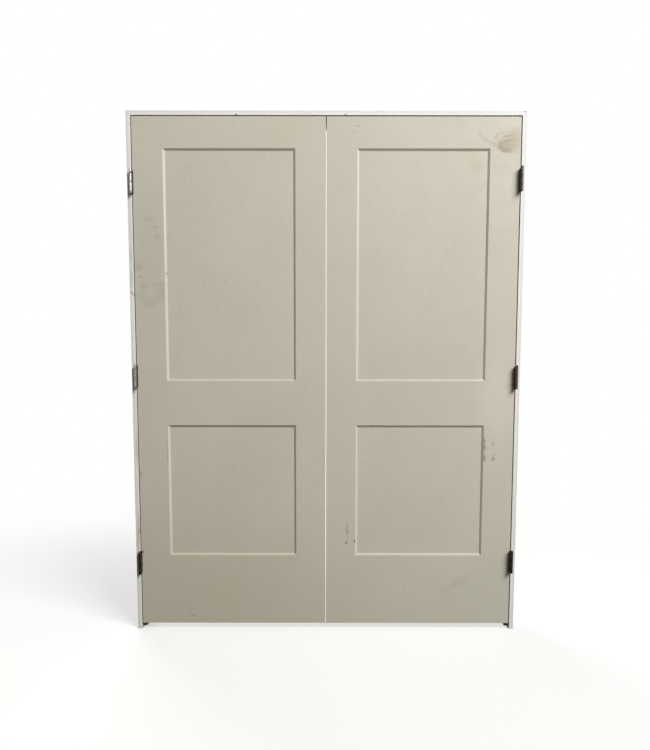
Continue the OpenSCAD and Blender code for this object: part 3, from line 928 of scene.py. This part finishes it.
def leaf_pocket(side, sign, height):
    """A cutter with the outline of a let-in hinge leaf and its two rounded corners."""
    low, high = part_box(f"{side}_{height}_jamb_leaf")
    x0, x1 = sorted((sign*(LEG_FACE - PAST), sign*(LEG_FACE + LEAF_T)))
    back = high.y + FIT
    piece = block("pocket", (x0, DOOR_FACE_Y - 2*PAST, low.z - FIT), (x1, back, high.z + FIT))
    edit(piece)
    pick("EDGE", lambda e: lies_at(e, 1, back) and runs_along(e, 0))
    bpy.ops.mesh.bevel(offset=LEAF_CORNER, segments=8, affect="EDGES")
    done()
    return piece


for side, sign in SIDES:
    low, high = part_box(f"{side}_jamb")
    leg = eased_board(f"{side}_leg_board", low, high, 2)
    x0, x1 = sorted((sign*(LEG_FACE - PAST), sign*head_high.x))
    rabbet_end = (x1, high.y + PAST, head_high.z + PAST)
    cut(leg, block("rabbet", (x0, low.y - PAST, head_low.z), rabbet_end))
    for height in HEIGHTS:
        cut(leg, leaf_pocket(side, sign, height))
    for y in nail_rows:
        hole = (sign*(LEG_FACE + NAIL_DEPTH), y, nail_height)
        cut(leg, round_cutter(hole, NAIL_HOLE_R, DRILL, "X"))
    smooth(leg)
    finish_piece(leg, white_pine, "frame", "primed_jamb", f"{side}_jamb")

# %% Head of the frame
head = eased_board("head_board", head_low, head_high, 0)
smooth(head)
finish_piece(head, white_pine, "frame", "primed_jamb", "head_jamb")

# %% [markdown]
# The stops are thin strips that the closed doors come up against. Their two outer edges
# are rounded more than the boards are, and a brad every 400 mm or so holds them. The
# head stop runs over the full width, and the leg stops butt against it from below.

# %% Stops
STOP_EDGE = 2*MM
BRAD_HOLE_R = 0.85*MM
BRAD_DEPTH = 5*MM
END_GAP = 80*MM
stop_low, stop_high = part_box("left_stop")
brad_y = (stop_low.y + stop_high.y)/2
leg_brads = [END_GAP + i*(stop_high.z - 2*END_GAP)/5 for i in range(6)]
head_brads = [(LEG_FACE - END_GAP)*i/2 for i in range(-2, 3)]


def stop_strip(node, across, out, along):
    """A strip that runs along one axis, with the two edges rounded on its side that is out.

    Axes are 0 for X and 2 for Z. out is 0 for the low side across the strip, and 1 for the high.
    """
    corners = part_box(node)
    piece = block(f"{node}_strip", *corners)
    edit(piece)
    pick("EDGE", lambda e: lies_at(e, across, corners[out][across]) and runs_along(e, along))
    bpy.ops.mesh.bevel(offset=STOP_EDGE, segments=5, affect="EDGES")
    done()
    return piece


for side, sign in SIDES:
    strip = stop_strip(f"{side}_stop", 0, 1 if side == "left" else 0, 2)
    for z in leg_brads:
        hole = (sign*(LEG_FACE - BRAD_DEPTH), brad_y, z)
        cut(strip, round_cutter(hole, BRAD_HOLE_R, DRILL, "X"))
    smooth(strip)
    finish_piece(strip, white_pine, "frame", "primed_jamb", f"{side}_stop")
strip = stop_strip("head_stop", 2, 0, 0)
for x in head_brads:
    cut(strip, round_cutter((x, brad_y, stop_high.z), BRAD_HOLE_R, DRILL, "Z"))
smooth(strip)
finish_piece(strip, white_pine, "frame", "primed_jamb", "head_stop")

# %% [markdown]
# A butt hinge is the part that takes the most care. Each leaf is stamped from plate
# 2.4 mm thick. At its edge the plate is swaged, which sets it back a little, and then
# tongues are curled round the pin to make the knuckles: three on the frame's leaf and
# two on the door's. The spin tool does what the press does, and turns the end face of
# each tongue round the pin. A thin seam stays open where the curl comes back to the plate.

# %% Hinge leaf, curled from its plate
LEAF_H = 88.9*MM
LEAF_W = 44.45*MM
KNUCKLES = 5
KNUCKLE_GAP = 0.3*MM
PIN_BORE = 3.16*MM
PLATE_X = 1.75*MM
SWAGE_Y = 6.3*MM
CURL = 285
knuckle_h = (LEAF_H - (KNUCKLES - 1)*KNUCKLE_GAP)/KNUCKLES


def knuckle_span(i):
    """Lowest and highest place of knuckle i, from the leaf's middle."""
    low = -LEAF_H/2 + i*(knuckle_h + KNUCKLE_GAP)
    return low, low + knuckle_h


def curled_leaf(name, first):
    """One leaf with its pin at the origin. first is its first knuckle, 0 or 1."""
    piece = block(name, (PLATE_X, SWAGE_Y, -LEAF_H/2), (PLATE_X + LEAF_T, LEAF_W, LEAF_H/2))
    spans = [knuckle_span(i) for i in range(first, KNUCKLES, 2)]
    edit(piece)
    pick("EDGE", lambda e: lies_at(e, 1, LEAF_W) and runs_along(e, 0))
    bpy.ops.mesh.bevel(offset=LEAF_CORNER, segments=8, affect="EDGES")
    for z in [z for span in spans for z in span if abs(abs(z) - LEAF_H/2) > NEAR]:
        bpy.ops.mesh.select_all(action="SELECT")
        bpy.ops.mesh.bisect(plane_co=(0, 0, z), plane_no=(0, 0, 1))
    pick("FACE", lambda f: f.normal.y < -0.99
         and any(a < f.calc_center_median().z < b for a, b in spans))
    bpy.ops.mesh.extrude_region_move(TRANSFORM_OT_translate={
        "value": (PIN_BORE - PLATE_X, -SWAGE_Y, 0)})
    bpy.ops.mesh.spin(steps=26, angle=math.radians(CURL), center=(0, 0, 0), axis=(0, 0, 1))
    bpy.ops.mesh.select_all(action="SELECT")
    bpy.ops.mesh.remove_doubles(threshold=NEAR/2)
    bpy.ops.mesh.normals_make_consistent(inside=False)
    done()
    return piece


door_leaf = curled_leaf("door_leaf_pattern", 1)
jamb_leaf = curled_leaf("jamb_leaf_pattern", 0)
print("leaves:", len(door_leaf.data.polygons), "and", len(jamb_leaf.data.polygons), "faces")

# %% [markdown]
# Each leaf has three countersunk holes, set in a zigzag so that the screws don't split the
# wood along one line. A cutter for a hole is a cone on a bar, as a countersink bit is. A
# small bevel on all sharp edges then stands for the tumbling that follows the stamping.

# %% Countersunk holes and dulled edges of the leaves
SCREW_ROWS = [(-31*MM, 36.45*MM), (0, 26.45*MM), (31*MM, 36.45*MM)]
SINK_R = 4.45*MM
HOLE_R = 2.25*MM
SINK_DEPTH = 2.3*MM
SINK_AT = 0.95*MM
LEAF_BEVEL = 0.4*MM


def countersink(row):
    """A cutter for one countersunk hole, wide on the side of the plate that shows."""
    z, y = row
    deselect()
    bpy.ops.mesh.primitive_cone_add(vertices=32, radius1=SINK_R, radius2=HOLE_R, depth=SINK_DEPTH,
                                    rotation=(0, math.pi/2, 0),
                                    location=(PLATE_X + SINK_AT, y, z))
    bore = (PLATE_X + LEAF_T/2, y, z)
    return join("sink", [settle("cone"), round_cutter(bore, HOLE_R, 6*MM, "X")])


for leaf in (door_leaf, jamb_leaf):
    for row in SCREW_ROWS:
        cut(leaf, countersink(row))
    modify(leaf, "BEVEL", width=LEAF_BEVEL, segments=3, limit_method="ANGLE",
           angle_limit=math.radians(50))
    smooth(leaf, 40)
print("leaves with holes:", len(door_leaf.data.polygons), "faces")

# %% [markdown]
# The pin fills the knuckles and ends in a button at the top, and a plug with the same
# button closes the foot. A button starts as a short cylinder, and a wide bevel on its
# outer rim makes it a dome.

# %% Pin and plug
PIN_R = 3.1*MM
BUTTON_R = 5.2*MM
BUTTON_H = 4*MM
CROWN_ROUND = 2.9*MM
SEAT_ROUND = 0.7*MM
SHAFT_ROUND = 0.4*MM
PLUG = 6*MM
SUNK = 1*MM


def button(seat_z, up):
    """A domed button on its seat, pointing up or down."""
    deselect()
    bpy.ops.mesh.primitive_cylinder_add(vertices=40, radius=BUTTON_R, depth=BUTTON_H,
                                        location=(0, 0, seat_z + up*BUTTON_H/2))
    piece = settle("button")
    edit(piece)
    for z, offset, segments in ((seat_z + up*BUTTON_H, CROWN_ROUND, 7), (seat_z, SEAT_ROUND, 3)):
        pick("EDGE", lambda e: lies_at(e, 2, z))
        bpy.ops.mesh.bevel(offset=offset, segments=segments, affect="EDGES")
    done()
    return piece


def shaft(low_z, high_z):
    """The round shaft of a pin, its ends rounded over."""
    deselect()
    bpy.ops.mesh.primitive_cylinder_add(vertices=32, radius=PIN_R, depth=high_z - low_z,
                                        location=(0, 0, (low_z + high_z)/2))
    piece = settle("shaft")
    edit(piece)
    pick("EDGE", lambda e: not runs_along(e, 2))
    bpy.ops.mesh.bevel(offset=SHAFT_ROUND, segments=2, affect="EDGES")
    done()
    return piece


pin_foot = -LEAF_H/2 + PLUG + KNUCKLE_GAP
pin = join("pin_pattern", [shaft(pin_foot, LEAF_H/2 + SUNK), button(LEAF_H/2, 1)])
plug = join("plug_pattern", [shaft(-LEAF_H/2 - SUNK, -LEAF_H/2 + PLUG), button(-LEAF_H/2, -1)])
for piece in (pin, plug):
    smooth(piece, 40)
print("pin:", len(pin.data.polygons), "faces, plug:", len(plug.data.polygons))

# %% [markdown]
# The screws are countersunk, with a cross recess. The head is a cone that widens to its
# face, the shank is drawn out of its small end, and a cross of two tapered blocks is cut
# into the face. They are copied with the cross turned each time, as no fitter leaves
# two screws at the same angle.

# %% Screw
HEAD_R = 4.2*MM
SCREW_R = 2.2*MM
HEAD_H = 2.1*MM
SHANK_H = 8.9*MM
POINT_H = 4.9*MM
SLOT_LOW = Vector((-0.55*MM, -2.3*MM, -0.2*MM))
SLOT_HIGH = Vector((0.55*MM, 2.3*MM, 1.6*MM))


def tapered_slot(turn):
    """One bar of the cross recess, narrower at its foot."""
    piece = block("slot", SLOT_LOW, SLOT_HIGH)
    edit(piece)
    pick("FACE", lambda f: f.normal.z > 0.9)
    bpy.ops.transform.resize(value=(0.55, 0.45, 1))
    bpy.ops.mesh.select_all(action="SELECT")
    bpy.ops.transform.rotate(value=turn, orient_axis="Z", center_override=(0, 0, 0))
    done()
    return piece


deselect()
bpy.ops.mesh.primitive_cone_add(vertices=32, radius1=HEAD_R, radius2=SCREW_R, depth=HEAD_H,
                                location=(0, 0, HEAD_H/2))
screw = settle("screw_pattern")
edit(screw)
pick("FACE", lambda f: f.normal.z > 0.9)
bpy.ops.mesh.extrude_region_move(TRANSFORM_OT_translate={"value": (0, 0, SHANK_H)})
bpy.ops.mesh.extrude_region_move(TRANSFORM_OT_translate={"value": (0, 0, POINT_H)})
bpy.ops.transform.resize(value=(0.1, 0.1, 1))
done()
for turn in (0, math.pi/2):
    cut(screw, tapered_slot(turn))
modify(screw, "BEVEL", width=0.12*MM, segments=1, limit_method="ANGLE",
       angle_limit=math.radians(55))
smooth(screw, 40)
print("screw:", len(screw.data.polygons), "faces")

# %% [markdown]
# Each hinge is now put together from the patterns. A pattern has its pin at the origin,
# so its place is the middle of the measured pin. The right door's hinges are the left
# ones seen in a mirror, and they sit up to a centimetre higher, as on the real doors.

# %% Place the hinges
def shift(piece, way, turns=()):
    """Turn a piece's mesh about the origin, then move it."""
    edit(piece)
    bpy.ops.mesh.select_all(action="SELECT")
    for axis, angle in turns:
        bpy.ops.transform.rotate(value=angle, orient_axis=axis, center_override=(0, 0, 0))
    bpy.ops.transform.translate(value=way)
    done()


def placed(pattern, name, centre, flip=False):
    """A copy of a pattern at a place, mirrored across the door if asked."""
    made = copy_of(pattern, name)
    if flip:
        turn_over(made, (-1, 1, 1))
    shift(made, centre)
    return made


def hinge_centre(side, height):
    """The middle of a hinge: on its pin's axis, halfway up its leaf."""
    low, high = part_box(f"{side}_{height}_pin")
    leaf_low, leaf_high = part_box(f"{side}_{height}_jamb_leaf")
    return Vector(((low.x + high.x)/2, (low.y + high.y)/2, (leaf_low.z + leaf_high.z)/2))


for side, _ in SIDES:
    for height in HEIGHTS:
        centre = hinge_centre(side, height)
        hinge = f"{side}_{height}"
        leaf = placed(door_leaf, f"{hinge}_curled_door_leaf", centre, side == "right")
        finish_piece(leaf, rubbed_bronze, f"{side}_door", "hinge_bronze", f"{hinge}_door_leaf")
        leaf = placed(jamb_leaf, f"{hinge}_curled_jamb_leaf", centre, side == "left")
        finish_piece(leaf, rubbed_bronze, "frame", "hinge_bronze", f"{hinge}_jamb_leaf")
        part = placed(pin, f"{hinge}_button_pin", centre)
        finish_piece(part, rubbed_bronze, "frame", "hinge_bronze", f"{hinge}_pin")
    plugs = [placed(plug, "plug", hinge_centre(side, height)) for height in HEIGHTS]
    plugs = join(f"{side}_button_plugs", plugs)
    finish_piece(plugs, rubbed_bronze, "frame", "hinge_bronze", f"{side}_pin_plugs")

# %% [markdown]
# A screw's pattern lies along Z with its face at the origin, so each copy is turned about
# that line, laid along X, moved to its hole in the leaf and then to the leaf's hinge.

# %% Place the screws
TURN_STEP = math.radians(37)
SCREW_SET = 0.05*MM


def screws_of(side, flip):
    """The nine screws of one side's leaves, set from the pin towards the door or the frame."""
    made = []
    for height in HEIGHTS:
        for z, y in SCREW_ROWS:
            one = copy_of(screw, "screw")
            shift(one, (PLATE_X + SCREW_SET, y, z),
                  [("Z", TURN_STEP*len(made)), ("Y", -math.pi/2)])
            if flip:
                turn_over(one, (-1, 1, 1))
            shift(one, hinge_centre(side, height))
            made.append(one)
    return made


for side, _ in SIDES:
    for part, body, flip in (("door", f"{side}_door", side == "right"),
                             ("jamb", "frame", side == "left")):
        piece = join(f"{side}_{part}_cross_screws", screws_of(side, flip))
        finish_piece(piece, rubbed_bronze, body, "hinge_bronze", f"{side}_{part}_screws")
for piece in (door_leaf, jamb_leaf, pin, plug, screw):
    bpy.data.objects.remove(piece)

# %% [markdown]
# The wood and card inside the slabs and the nails keep their measured shapes, which are
# plain in the real door too. They only need their materials.

# %% Materials of the measured parts
INNER = {
    "core": core_card, "hinge_stile": pine_upright, "meeting_stile": pine_upright,
    "lock_block": pine_upright, "top_rail": pine_level, "bottom_rail": pine_level,
    "nails": nail_steel, "brads": nail_steel,
}
for name, item in nodes.items():
    finish = next((INNER[key] for key in INNER if name.endswith(key)), None)
    if finish:
        item.data.materials.clear()
        item.data.materials.append(finish)
        print(name, "is", finish.name)

# %% [markdown]
# The last step leaves nothing selected.

# %% End
deselect()
